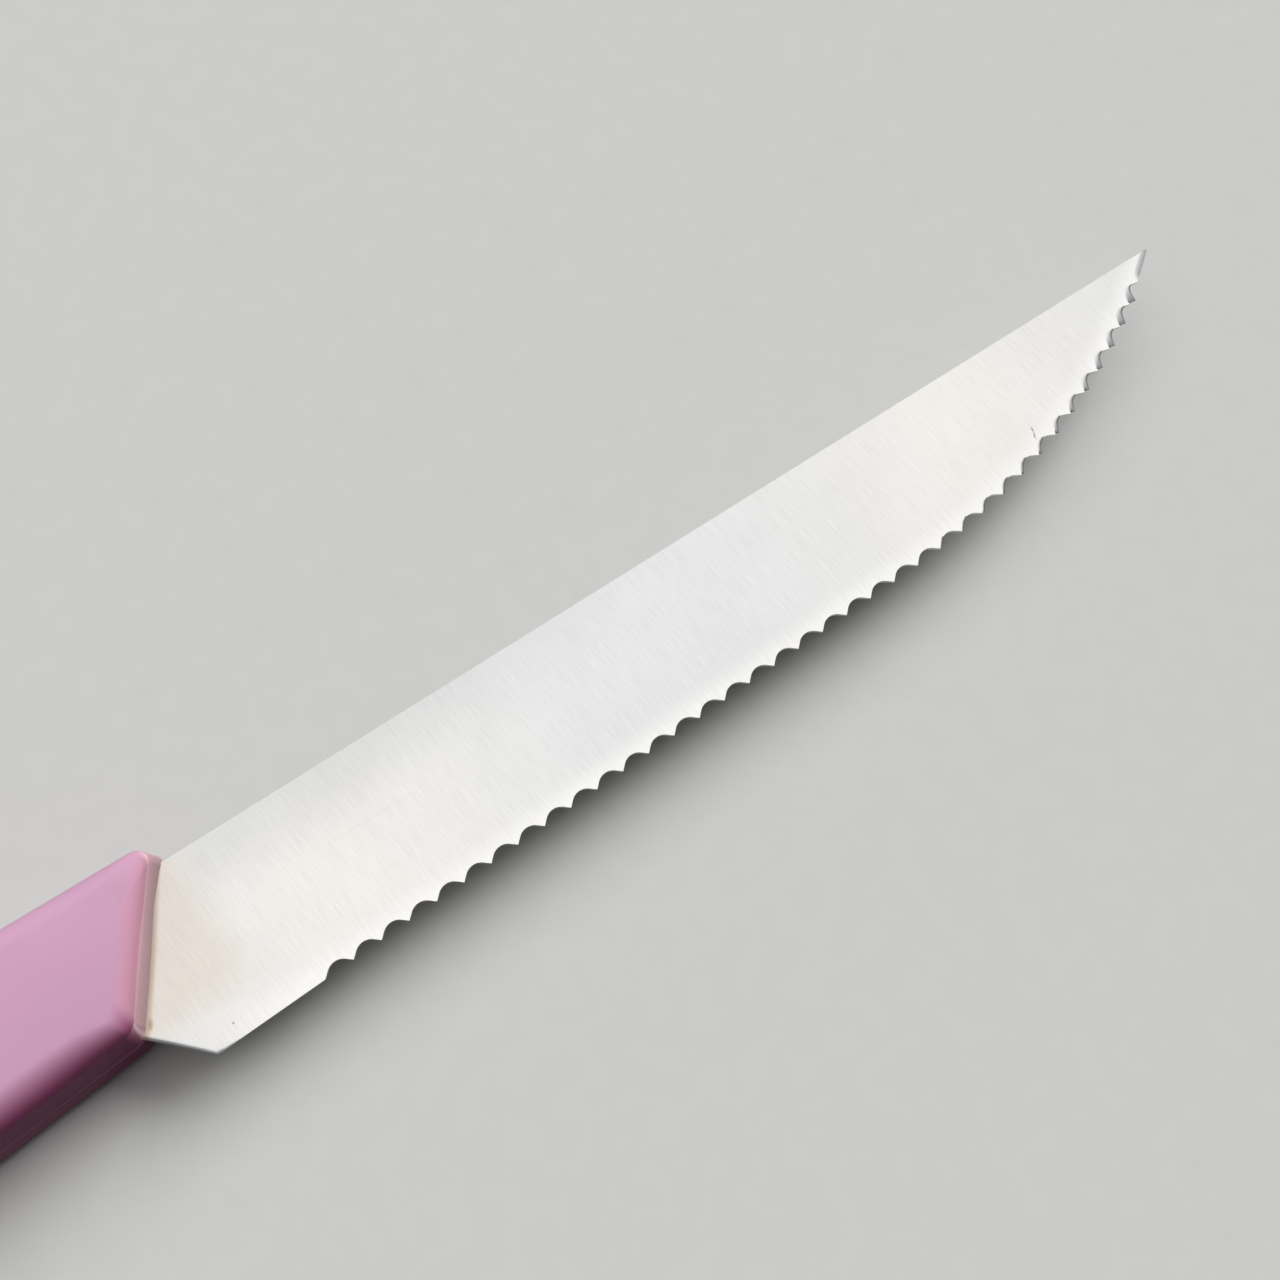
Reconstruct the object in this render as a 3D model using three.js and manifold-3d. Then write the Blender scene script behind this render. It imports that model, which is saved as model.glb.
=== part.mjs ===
// Steak knife lying on its side: a serrated steel blade with a hidden tang, held between the two moulded
// halves of a plastic handle by three cross pins. Millimetres, +X to the point, +Y to the spine, +Z up.
// The shapes are drawn about the place where the spine leaves the handle, with z = 0 in the blade's middle.
// At the end the knife is moved so that its lower cheek lies on z = 0 below the middle of its box.

import * as THREE from 'three';
import { mergeVertices } from 'three/addons/utils/BufferGeometryUtils.js';
import Module from 'manifold-3d';

// Blade
const BLADE_LENGTH = 119; // along the spine, from the handle's front to the point
const BLADE_THICKNESS = 1.25;
const POINT_RADIUS = 0.15;
const HEEL_DEPTH = 18; // from the spine down to the heel's corner
const HEEL_SETBACK = 3.8; // how far the heel's corner lies behind the front at the spine
const HEEL_ANGLE = 44.5; // slope of the short heel edge, degrees
const EDGE_SLOPE = 1.8; // rise of the straight edge towards the point, degrees
const STRAIGHT_EDGE = 79.5; // from the heel's corner to the start of the belly

// Edge bevel, ground on the left side only
const BEVEL_WIDTH = 2.6;
const EDGE_LAND = 0.3; // thickness left at the tooth tips

// Serrations
const PLAIN_EDGE = 10.7; // from the heel's corner to the first tooth
const PLAIN_POINT = 4; // at least this much of the belly stays plain at the point
const TOOTH_PITCH = 3;
const TOOTH_DEPTH = 0.87;
const FLANK_ANGLE = 42; // of a tooth's straight flank to the row, degrees
const SCALLOP_TILT = 55; // lean of the hollow grind behind each gullet, degrees
const SCALLOP_LAND = 0.35; // thickness left at the bottom of a gullet

// Handle
const HANDLE_LENGTH = 108; // from the front at the spine to the butt
const HANDLE_THICKNESS = 12.5;
const TOP_RISE = 1.3; // of the handle's top above the spine, at the front
const TOP_SLOPE = 1.1; // rise of the top towards the butt, degrees
const FRONT_DROP = 13.3; // of the lower front corner below the spine
const FRONT_SLANT = 32.8; // of the front face from upright, degrees
const UNDERSIDE_SLOPE = 4.95; // fall of the underside towards the belly, degrees
const BELLY_SETBACK = 52; // from the front at the spine to the bend in the underside
const REAR_SLOPE = 0.5; // fall of the underside behind the bend, degrees
const BUTT_SLANT = 12; // of the butt from upright, degrees
const FRONT_TOP_RADIUS = 1.3;
const FRONT_LOW_RADIUS = 0.6;
const BELLY_RADIUS = 400;
const BUTT_LOW_RADIUS = 7;
const BUTT_TOP_RADIUS = 6;
const CHEEK_RADIUS = 2.4; // rounding between the cheeks and the sides
const DRAFT = 2.5; // lean of the sides from the seam to the cheeks, degrees
const SHARP_RADIUS = 0.15; // corners that the rounding has used up

// Tang and pins
const TANG_LENGTH = 78; // from the front at the spine to the tang's end
const TANG_DROP = 2.5; // of the tang's top edge below the spine
const TANG_WIDTH = 8;
const TANG_RADIUS = 2;
const SHOULDER_SETBACK = 3.5; // from the front at the spine to the upper shoulder
const SHOULDER_SLANT = 45; // degrees
const PIN_DIAMETER = 4;
const PIN_LENGTH = 9;
const FIRST_PIN = 22; // from the front at the spine
const LAST_PIN = 10; // from the tang's end
const PIN_NAMES = ['pin_front', 'pin_middle', 'pin_rear'];

// Clearance round the tang, and between a pin and its holes
const FIT = 0.3;

// Facets
const ARC_STEPS = 3; // half the facets of a drawn arc
const ROUND_STEPS = 5; // facets of the cheek rounding
const PIN_SIDES = 24;
const CUTTER_SIDES = 28;
const CUTTER_REACH = 8; // half the length of a grinding cutter
const BEVEL_STEPS = 48; // facets of the bevel along the edge
const OVERRUN = 3; // how far the bevel's cutter runs past both ends of the edge

const wasm = await Module();
wasm.setup();

const radians = THREE.MathUtils.degToRad;
const vec = (x, y) => new THREE.Vector2(x, y);
const slopeOf = (degrees) => Math.tan(radians(degrees));

// Closed solid from a geometry whose shared vertices are merged
function toSolid(geometry) {
  const bare = geometry.clone();
  bare.deleteAttribute('normal');
  bare.deleteAttribute('uv');
  const merged = mergeVertices(bare);
  return new wasm.Manifold(new wasm.Mesh({
    numProp: 3,
    vertProperties: new Float32Array(merged.attributes.position.array),
    triVerts: new Uint32Array(merged.index.array),
  }));
}

// Flat-shaded geometry from a solid
function toGeometry(solid) {
  const mesh = solid.getMesh();
  const geometry = new THREE.BufferGeometry();
  geometry.setAttribute('position', new THREE.BufferAttribute(mesh.vertProperties, mesh.numProp));
  geometry.setIndex(new THREE.BufferAttribute(mesh.triVerts, 1));
  const faceted = geometry.toNonIndexed();
  faceted.computeVertexNormals();
  return faceted;
}

// Plate of one thickness, centred on z = 0
function plate(shape, thickness) {
  const geometry = new THREE.ExtrudeGeometry(shape, {
    depth: thickness,
    bevelEnabled: false,
    curveSegments: ARC_STEPS,
  });
  return geometry.translate(0, 0, -thickness / 2);
}

// Points round a counter-clockwise polygon with rounded corners, moved inwards by inset
function roundedOutline(corners, inset = 0) {
  const count = corners.length;
  const edges = corners.map((corner, i) => {
    const next = corners[(i + 1) % count];
    const along = vec(next.x - corner.x, next.y - corner.y).normalize();
    const inward = vec(-along.y, along.x);
    const start = vec(corner.x, corner.y).addScaledVector(inward, inset);
    return { along, inward, start };
  });
  return corners.flatMap((corner, i) => {
    const before = edges[(i + count - 1) % count];
    const after = edges[i];
    const sine = before.along.cross(after.along);
    const turn = Math.atan2(sine, before.along.dot(after.along));
    const run = after.start.clone().sub(before.start).cross(after.along) / sine;
    const meeting = before.start.clone().addScaledVector(before.along, run);
    const side = Math.sign(turn);
    const radius = Math.max(corner.radius - side * inset, SHARP_RADIUS);
    const reach = radius * Math.tan(Math.abs(turn) / 2);
    const start = meeting.clone().addScaledVector(before.along, -reach);
    const centre = start.clone().addScaledVector(before.inward, side * radius);
    const from = Math.atan2(start.y - centre.y, start.x - centre.x);
    const arc = new THREE.EllipseCurve(centre.x, centre.y, radius, radius, from, from + turn, turn < 0);
    return arc.getPoints(2 * ARC_STEPS);
  });
}

// Solid through a stack of outlines with equal numbers of points, from the lowest to the highest
function loft(levels) {
  const count = levels[0].points.length;
  const positions = [];
  const triangles = [];
  for (const { z, points } of levels) {
    for (const point of points) {
      positions.push(point.x, point.y, z);
    }
  }
  for (let level = 0; level + 1 < levels.length; level++) {
    for (let i = 0; i < count; i++) {
      const j = (i + 1) % count;
      const low = level * count;
      const high = low + count;
      triangles.push(low + i, low + j, high + j, low + i, high + j, high + i);
    }
  }
  const top = (levels.length - 1) * count;
  for (const [a, b, c] of THREE.ShapeUtils.triangulateShape(levels[0].points, [])) {
    triangles.push(a, c, b);
  }
  for (const [a, b, c] of THREE.ShapeUtils.triangulateShape(levels.at(-1).points, [])) {
    triangles.push(top + a, top + b, top + c);
  }
  const geometry = new THREE.BufferGeometry();
  geometry.setAttribute('position', new THREE.Float32BufferAttribute(positions, 3));
  geometry.setIndex(triangles);
  return geometry;
}

// Cutting edge: a straight run from the heel's corner, then one arc to the point, smooth where they meet
const heel = vec(-HEEL_SETBACK, -HEEL_DEPTH);
const edgeAlong = vec(Math.cos(radians(EDGE_SLOPE)), Math.sin(radians(EDGE_SLOPE)));
const edgeInward = vec(-edgeAlong.y, edgeAlong.x);
const bladePoint = vec(BLADE_LENGTH, 0);
const bellyStart = heel.clone().addScaledVector(edgeAlong, STRAIGHT_EDGE);
const bellySpan = bladePoint.clone().sub(bellyStart);
const edgeRadius = bellySpan.lengthSq() / (2 * bellySpan.dot(edgeInward));
const bellyTurn = 2 * Math.atan2(bellySpan.dot(edgeInward), bellySpan.dot(edgeAlong));
const edgeLength = STRAIGHT_EDGE + edgeRadius * bellyTurn;

function edgeAt(distance) {
  if (distance <= STRAIGHT_EDGE) {
    return heel.clone().addScaledVector(edgeAlong, distance);
  }
  const turn = (distance - STRAIGHT_EDGE) / edgeRadius;
  return bellyStart.clone()
    .addScaledVector(edgeAlong, edgeRadius * Math.sin(turn))
    .addScaledVector(edgeInward, edgeRadius * (1 - Math.cos(turn)));
}

// The edge as a curve, with an overrun at both ends
class EdgeCurve extends THREE.Curve {
  getPoint(share, target = new THREE.Vector3()) {
    const place = edgeAt(share * (edgeLength + 2 * OVERRUN) - OVERRUN);
    return target.set(place.x, place.y, 0);
  }
}

// Gullets between the teeth: a round bottom with two straight flanks, from tooth tip to tooth tip
const gulletCount = Math.floor((edgeLength - PLAIN_EDGE - PLAIN_POINT) / TOOTH_PITCH);
const flank = radians(FLANK_ANGLE);

function gulletAt(i) {
  const start = edgeAt(PLAIN_EDGE + i * TOOTH_PITCH);
  const end = edgeAt(PLAIN_EDGE + (i + 1) * TOOTH_PITCH);
  const along = end.clone().sub(start);
  const width = along.length();
  along.normalize();
  const inward = vec(-along.y, along.x);
  const excess = (width / 2) * Math.tan(flank) - TOOTH_DEPTH;
  const radius = excess / (Math.sin(flank) * Math.tan(flank) - (1 - Math.cos(flank)));
  const apex = start.clone().add(end).multiplyScalar(0.5).addScaledVector(inward, TOOTH_DEPTH);
  const centre = apex.clone().addScaledVector(inward, -radius);
  return { start, end, along, inward, radius, apex, centre };
}

const gullets = Array.from({ length: gulletCount }, (_, i) => gulletAt(i));

// Tang and shoulders inside the handle, shared by the blade and by the pocket in the handle
const tangTop = -TANG_DROP;
const tangLow = -TANG_DROP - TANG_WIDTH;
const heelRise = HEEL_DEPTH + tangLow;
const upperShoulder = vec(-SHOULDER_SETBACK, 0);
const upperRoot = vec(-SHOULDER_SETBACK - TANG_DROP * slopeOf(SHOULDER_SLANT), tangTop);
const lowerRoot = vec(heel.x - heelRise / slopeOf(HEEL_ANGLE), tangLow);
const tangUpperEnd = vec(-TANG_LENGTH, tangTop);
const tangLowerEnd = vec(-TANG_LENGTH, tangLow);
const tangMiddle = (tangTop + tangLow) / 2;
const pinSpacing = (TANG_LENGTH - FIRST_PIN - LAST_PIN) / (PIN_NAMES.length - 1);
const pinPlaces = PIN_NAMES.map((name, i) => vec(-FIRST_PIN - i * pinSpacing, tangMiddle));

const cornerAt = (place, radius = SHARP_RADIUS) => ({ x: place.x, y: place.y, radius });

// Blade with its tang: the plate is stamped to its outline, bevelled along the edge on the left side,
// and then each gullet is ground hollow from that side
function bladeGeometry() {
  const outline = new THREE.Shape();
  outline.moveTo(upperRoot.x, upperRoot.y);
  outline.lineTo(tangUpperEnd.x + TANG_RADIUS, tangTop);
  outline.absarc(tangUpperEnd.x + TANG_RADIUS, tangTop - TANG_RADIUS, TANG_RADIUS, Math.PI / 2, Math.PI);
  outline.absarc(tangLowerEnd.x + TANG_RADIUS, tangLow + TANG_RADIUS, TANG_RADIUS, Math.PI, 1.5 * Math.PI);
  outline.lineTo(lowerRoot.x, lowerRoot.y);
  outline.lineTo(heel.x, heel.y);
  for (const { start, end, along, radius, centre } of gullets) {
    const lean = Math.atan2(along.y, along.x) + Math.PI / 2;
    outline.lineTo(start.x, start.y);
    outline.absarc(centre.x, centre.y, radius, lean + flank, lean - flank, true);
    outline.lineTo(end.x, end.y);
  }
  const lastTooth = gullets.at(-1).end;
  const rise = bladePoint.clone().sub(lastTooth);
  const pointAngle = Math.atan2(rise.y, rise.x);
  const pointReach = POINT_RADIUS / Math.tan(pointAngle / 2);
  const pointTurn = pointAngle - Math.PI / 2;
  outline.absarc(bladePoint.x - pointReach, -POINT_RADIUS, POINT_RADIUS, pointTurn, Math.PI / 2);
  outline.lineTo(upperShoulder.x, upperShoulder.y);
  outline.closePath();
  for (const place of pinPlaces) {
    const hole = new THREE.Path();
    hole.absarc(place.x, place.y, PIN_DIAMETER / 2 + FIT, 0, 2 * Math.PI, true);
    outline.holes.push(hole);
  }
  let blade = toSolid(plate(outline, BLADE_THICKNESS)).subtract(toSolid(bevelCutter()));
  for (const gullet of gullets) {
    blade = blade.subtract(toSolid(scallopCutter(gullet)));
  }
  return toGeometry(blade);
}

// Wedge along the whole edge. Its section has x downwards, away from the right face, and y into the blade
function bevelCutter() {
  const half = BLADE_THICKNESS / 2;
  const fall = (BLADE_THICKNESS - EDGE_LAND) / BEVEL_WIDTH;
  const low = half + OVERRUN * fall;
  const section = new THREE.Shape([
    vec(low, BEVEL_WIDTH + OVERRUN),
    vec(EDGE_LAND - half - OVERRUN * fall, -OVERRUN),
    vec(low, -OVERRUN),
  ]);
  return new THREE.ExtrudeGeometry(section, { steps: BEVEL_STEPS, extrudePath: new EdgeCurve() });
}

// Leaning round cutter that leaves the land at the bottom of one gullet and cuts deeper towards the left side
function scallopCutter({ radius, apex, inward }) {
  const lean = radians(SCALLOP_TILT);
  const axis = new THREE.Vector3(inward.x * Math.sin(lean), inward.y * Math.sin(lean), -Math.cos(lean));
  const upright = new THREE.Vector3(0, 1, 0);
  const cutter = new THREE.CylinderGeometry(radius, radius, 2 * CUTTER_REACH, CUTTER_SIDES);
  cutter.applyQuaternion(new THREE.Quaternion().setFromUnitVectors(upright, axis));
  const middle = apex.clone().addScaledVector(inward, -radius / Math.cos(lean));
  return cutter.translate(middle.x, middle.y, BLADE_THICKNESS / 2 - SCALLOP_LAND);
}

// Side view of the handle, counter-clockwise from the top front corner
function handleCorners() {
  const front = (y) => y * slopeOf(FRONT_SLANT);
  const topAt = (x) => TOP_RISE - x * slopeOf(TOP_SLOPE);
  const topFrontX = front(TOP_RISE) / (1 + slopeOf(FRONT_SLANT) * slopeOf(TOP_SLOPE));
  const lowFront = vec(front(-FRONT_DROP), -FRONT_DROP);
  const bend = vec(-BELLY_SETBACK, lowFront.y - (BELLY_SETBACK + lowFront.x) * slopeOf(UNDERSIDE_SLOPE));
  const buttLowY = bend.y - (HANDLE_LENGTH - BELLY_SETBACK) * slopeOf(REAR_SLOPE);
  const buttTopX = -HANDLE_LENGTH + (topAt(-HANDLE_LENGTH) - buttLowY) * slopeOf(BUTT_SLANT);
  return [
    cornerAt(vec(topFrontX, topAt(topFrontX)), FRONT_TOP_RADIUS),
    cornerAt(vec(buttTopX, topAt(buttTopX)), BUTT_TOP_RADIUS),
    cornerAt(vec(-HANDLE_LENGTH, buttLowY), BUTT_LOW_RADIUS),
    cornerAt(bend, BELLY_RADIUS),
    cornerAt(lowFront, FRONT_LOW_RADIUS),
  ];
}

// Whole handle: widest at the seam, drafted towards the cheeks, with rounded cheek edges
function handleSolid() {
  const corners = handleCorners();
  const sideHeight = HANDLE_THICKNESS / 2 - CHEEK_RADIUS;
  const lean = sideHeight * slopeOf(DRAFT);
  const upper = [];
  for (let step = 0; step <= ROUND_STEPS; step++) {
    const turn = (step / ROUND_STEPS) * (Math.PI / 2);
    upper.push({
      z: sideHeight + CHEEK_RADIUS * Math.sin(turn),
      inset: lean + CHEEK_RADIUS * (1 - Math.cos(turn)),
    });
  }
  const lower = upper.map(({ z, inset }) => ({ z: -z, inset })).reverse();
  const levels = [...lower, { z: 0, inset: 0 }, ...upper].map(({ z, inset }) => ({
    z,
    points: roundedOutline(corners, inset),
  }));
  return toSolid(loft(levels));
}

// Everything cut out of the handle: the pocket for the tang and the blind sockets for the pins
function handleCuts() {
  const pocket = roundedOutline([
    cornerAt(bladePoint),
    cornerAt(upperShoulder),
    cornerAt(upperRoot),
    cornerAt(tangUpperEnd, TANG_RADIUS),
    cornerAt(tangLowerEnd, TANG_RADIUS),
    cornerAt(lowerRoot),
    cornerAt(heel),
  ], -FIT);
  let cuts = toSolid(plate(new THREE.Shape(pocket), BLADE_THICKNESS));
  for (const place of pinPlaces) {
    cuts = cuts.add(toSolid(pinGeometry(PIN_DIAMETER / 2 + FIT).translate(place.x, place.y, 0)));
  }
  return cuts;
}

function pinGeometry(radius) {
  return new THREE.CylinderGeometry(radius, radius, PIN_LENGTH, PIN_SIDES).rotateX(Math.PI / 2);
}

// One half of the handle, above the seam for side 1 and below it for side -1
function handleHalf(side) {
  const corners = handleCorners();
  const xs = corners.map(({ x }) => x);
  const ys = corners.map(({ y }) => y);
  const halfSpace = new THREE.BoxGeometry(
    2 * (Math.max(...xs) - Math.min(...xs)),
    2 * (Math.max(...ys) - Math.min(...ys)),
    HANDLE_THICKNESS,
  );
  halfSpace.translate(
    (Math.max(...xs) + Math.min(...xs)) / 2,
    (Math.max(...ys) + Math.min(...ys)) / 2,
    (side * HANDLE_THICKNESS) / 2,
  );
  return toGeometry(handleSolid().intersect(toSolid(halfSpace)).subtract(handleCuts()));
}

const steel = new THREE.MeshStandardMaterial({ color: 0xe6e4df, roughness: 0.35, metalness: 1 });
const pinSteel = new THREE.MeshStandardMaterial({ color: 0xb4b5b6, roughness: 0.4, metalness: 1 });
const plastic = new THREE.MeshStandardMaterial({ color: 0xcda2c0, roughness: 0.42, metalness: 0 });

const knife = new THREE.Group();

function addPiece(name, geometry, material) {
  const piece = new THREE.Mesh(geometry, material);
  piece.name = name;
  knife.add(piece);
  return piece;
}

addPiece('blade', bladeGeometry(), steel);
addPiece('handle_right_half', handleHalf(1), plastic);
addPiece('handle_left_half', handleHalf(-1), plastic);
PIN_NAMES.forEach((name, i) => {
  addPiece(name, pinGeometry(PIN_DIAMETER / 2), pinSteel).position.set(pinPlaces[i].x, pinPlaces[i].y, 0);
});

const bounds = new THREE.Box3().setFromObject(knife);
const middle = bounds.getCenter(new THREE.Vector3());
knife.position.set(-middle.x, -middle.y, -bounds.min.z);

export default knife;
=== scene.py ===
"""Steak knife: the finished pieces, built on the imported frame.

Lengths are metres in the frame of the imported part: +X to the point, +Y to the spine, +Z up.
Side views are drawn about the place where the spine leaves the handle, in the blade's middle plane.
"""

import math
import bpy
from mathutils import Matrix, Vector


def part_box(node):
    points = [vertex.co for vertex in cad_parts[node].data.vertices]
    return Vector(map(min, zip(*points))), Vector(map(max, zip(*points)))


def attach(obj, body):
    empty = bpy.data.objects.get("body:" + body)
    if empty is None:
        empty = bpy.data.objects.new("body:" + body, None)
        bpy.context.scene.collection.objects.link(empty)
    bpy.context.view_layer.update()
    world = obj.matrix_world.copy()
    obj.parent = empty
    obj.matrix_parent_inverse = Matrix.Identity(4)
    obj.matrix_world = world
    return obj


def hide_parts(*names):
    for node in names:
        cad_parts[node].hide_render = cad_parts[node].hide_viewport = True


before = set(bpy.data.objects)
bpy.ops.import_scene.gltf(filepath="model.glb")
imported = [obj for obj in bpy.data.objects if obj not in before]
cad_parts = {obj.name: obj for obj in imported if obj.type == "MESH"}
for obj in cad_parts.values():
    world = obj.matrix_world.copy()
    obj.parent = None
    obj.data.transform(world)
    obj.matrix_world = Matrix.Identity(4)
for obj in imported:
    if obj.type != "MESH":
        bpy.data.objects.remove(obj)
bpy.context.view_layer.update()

from types import SimpleNamespace

import bmesh
import bpy
import numpy as np
from bpy.props import FloatProperty, FloatVectorProperty, PointerProperty
from mathutils import Matrix, Vector

bl_info = {
    "name": "Steak knife",
    "version": (1, 0, 0),
    "blender": (4, 5, 0),
    "location": "3D View > Sidebar > Steak knife",
    "description": "Builds a serrated steak knife with a moulded handle on its packed frame",
    "category": "Object",
}

MM = 0.001
PIN_NODES = ("pin_front", "pin_middle", "pin_rear")

BLADE_LOW, BLADE_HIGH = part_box("blade")
HANDLE_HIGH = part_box("handle_right_half")[1]
TANG_LENGTH = 78 * MM
ORIGIN = Vector((BLADE_LOW.x + TANG_LENGTH, BLADE_HIGH.y, (BLADE_LOW.z + BLADE_HIGH.z) / 2))

HEEL_ROLL_START = 0.35  # share of the heel's rounding at its corner
HEEL_ROLL_RUN = 4 * MM  # behind the heel's corner, over which its rounding grows
HEEL_FADE = 8 * MM  # in front of the heel's corner, over which the painted highlight along the edge sets in
THINNEST_EDGE = 0.05 * MM
RIM_STRENGTH = 0.6  # of the slanted rim at the point
RUN_STEP = 4.5 * MM  # between the points on a straight run of an outline
RUN_MARGIN = 0.15 * MM  # from a rounding to the nearest point beside it
LARGEST_MARGIN = 0.2  # the same, as a share of a short run
DISH_TOP = (0.6 * MM, -2.4 * MM)  # by the spine, from no dish in the front to all of it
CREASE = math.radians(32)  # between faces that meet in a sharp edge

# Tones of the steel. A pair is where a tone sets in and where it is whole
FIRST_REFLECTION_BAND = 11 * MM  # from the handle to the middle of the first slow band of painted bright reflection
REFLECTION_BAND_SPACING = 79 * MM
# Where the painted reflection of the pink handle lies on the steel beside it
REFLECTION_BY_HANDLE = (4 * MM, -1 * MM)
REFLECTION_ABOVE_HEEL = (-15.5 * MM, -12.5 * MM)
HEEL_SHADE_RISE = 3  # how fast the painted shade on the heel's edge grows with the heel's rounding
SHADE_STRENGTH = 0.8
SHADE_BY_HANDLE = (-1 * MM, 4 * MM)
SHADE_BY_POINT = (58 * MM, 23 * MM)
SHADE_BY_SPINE = (-8 * MM, -0.5 * MM)

# Tones of the plastic. Here a pair is in shares of a corner's turn, or of a run along the handle
PINK_TURN = (0.639, 0.083)
PINK_FALL = 0.7  # how fast the painted pink shade on the front fades to the cheek, low on the front
PINK_TOP_FALL = 2.0  # the same at the top
PINK_TOP_REACH = 6 * MM
UNDERSIDE_RUN = (0, 0.667)
UNDERSIDE_TURN = (0, 0.625)
CORNER_SHADE_DEEP = 0.7  # painted shade in the underside's tone at the upper front corner
CORNER_SHADE_DUST = 0.6  # painted shade in the dust tone there
DUST_AND_SHADE_FALL = 0.8  # how fast the dust and painted shade on the dished front fade to the lip
# Painted highlights on the plastic: a line along the seam, the strip by the lip, the lip itself, and a spot
# at the lower front corner
SEAM_STRENGTH = 0.18
SEAM_RUN = (0, 0.5)
STRIP_HIGHLIGHT_STRENGTH = 0.7
LIP_TURN = (0.75, 0.25)
LIP_BEND = 1.2 * MM  # radius of the painted highlight line's bend at the seam
LIP_UNEVEN = 0.3
LIP_WAVE = 0.55 * MM
# A painted highlight spot at the lower front corner
GLINT_SIZE = 0.55 * MM
GLINT_CORNER = 2.5 * MM  # length of the lower front corner's turn
GLINT_STRENGTH = 0.8

FLOOR_REACH = 3
FLOOR_GAP = 0.02 * MM
SOFT_BOX_SIZE = (8.8, 5.0)
SOFT_BOX_PLACE = (0.9, 2.0, 3.0)
FILL_SIDE = (0.8, 0.21, 0.56)  # towards the fill lamp, beyond the point

STEEL_TONES = ("steel_reflection_band", "steel_handle_reflection", "steel_edge_highlight", "steel_shaded", "heel_edge_shade", "slanted")
PLASTIC_TONES = ("plastic_front_shade", "plastic_underside_shade", "dust_and_shade", "painted_highlight")


def linear(code):
    """Linear red, green and blue of an sRGB hex colour."""
    shares = [int(code[i:i + 2], 16) / 255 for i in (1, 3, 5)]
    return tuple(s / 12.92 if s <= 0.04045 else ((s + 0.055) / 1.055) ** 2.4 for s in shares)


def smooth_step(share):
    """A share from 0 to 1, eased at both ends."""
    share = min(1.0, max(0.0, share))
    return share * share * (3 - 2 * share)


def ramp(value, span):
    """Eased share of the way that a value has come from the start of a span to its end."""
    start, end = span
    return smooth_step((value - start) / (end - start))


def small_mark(start, end, half_width, strength, tone):
    """One small stroke on the right face, in millimetres from where the spine leaves the handle."""
    return SimpleNamespace(start=start, end=end, half_width=half_width, strength=strength, tone=tone)


MARKS = (
    small_mark((11.2, -7.05), (24.2, -7.48), 0.09, 0.11, "scratch"),
    small_mark((94.86, -9.83), (94.73, -10.41), 0.12, 1.0, "scratch"),
    small_mark((94.73, -10.41), (94.41, -11.11), 0.12, 1.0, "scratch"),
    small_mark((-1.84, -16.4), (-1.78, -16.4), 0.14, 0.9, "scratch"),
    small_mark((-8.2, -12.8), (-7.8, -12.1), 0.35, 0.9, "stain_and_joint_shade"),
)


def size(name, millimetres, description):
    """Property for a length, given in millimetres."""
    return FloatProperty(
        name=name, description=description, default=millimetres * MM, unit="LENGTH", precision=5)


def angle(name, degrees, description):
    """Property for an angle, given in degrees."""
    return FloatProperty(
        name=name, description=description, default=math.radians(degrees), unit="ROTATION")


def colour(name, code, description):
    """Property for a colour, given as an sRGB hex value."""
    return FloatVectorProperty(
        name=name, description=description, default=linear(code), subtype="COLOR", size=3, min=0, max=1)


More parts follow.
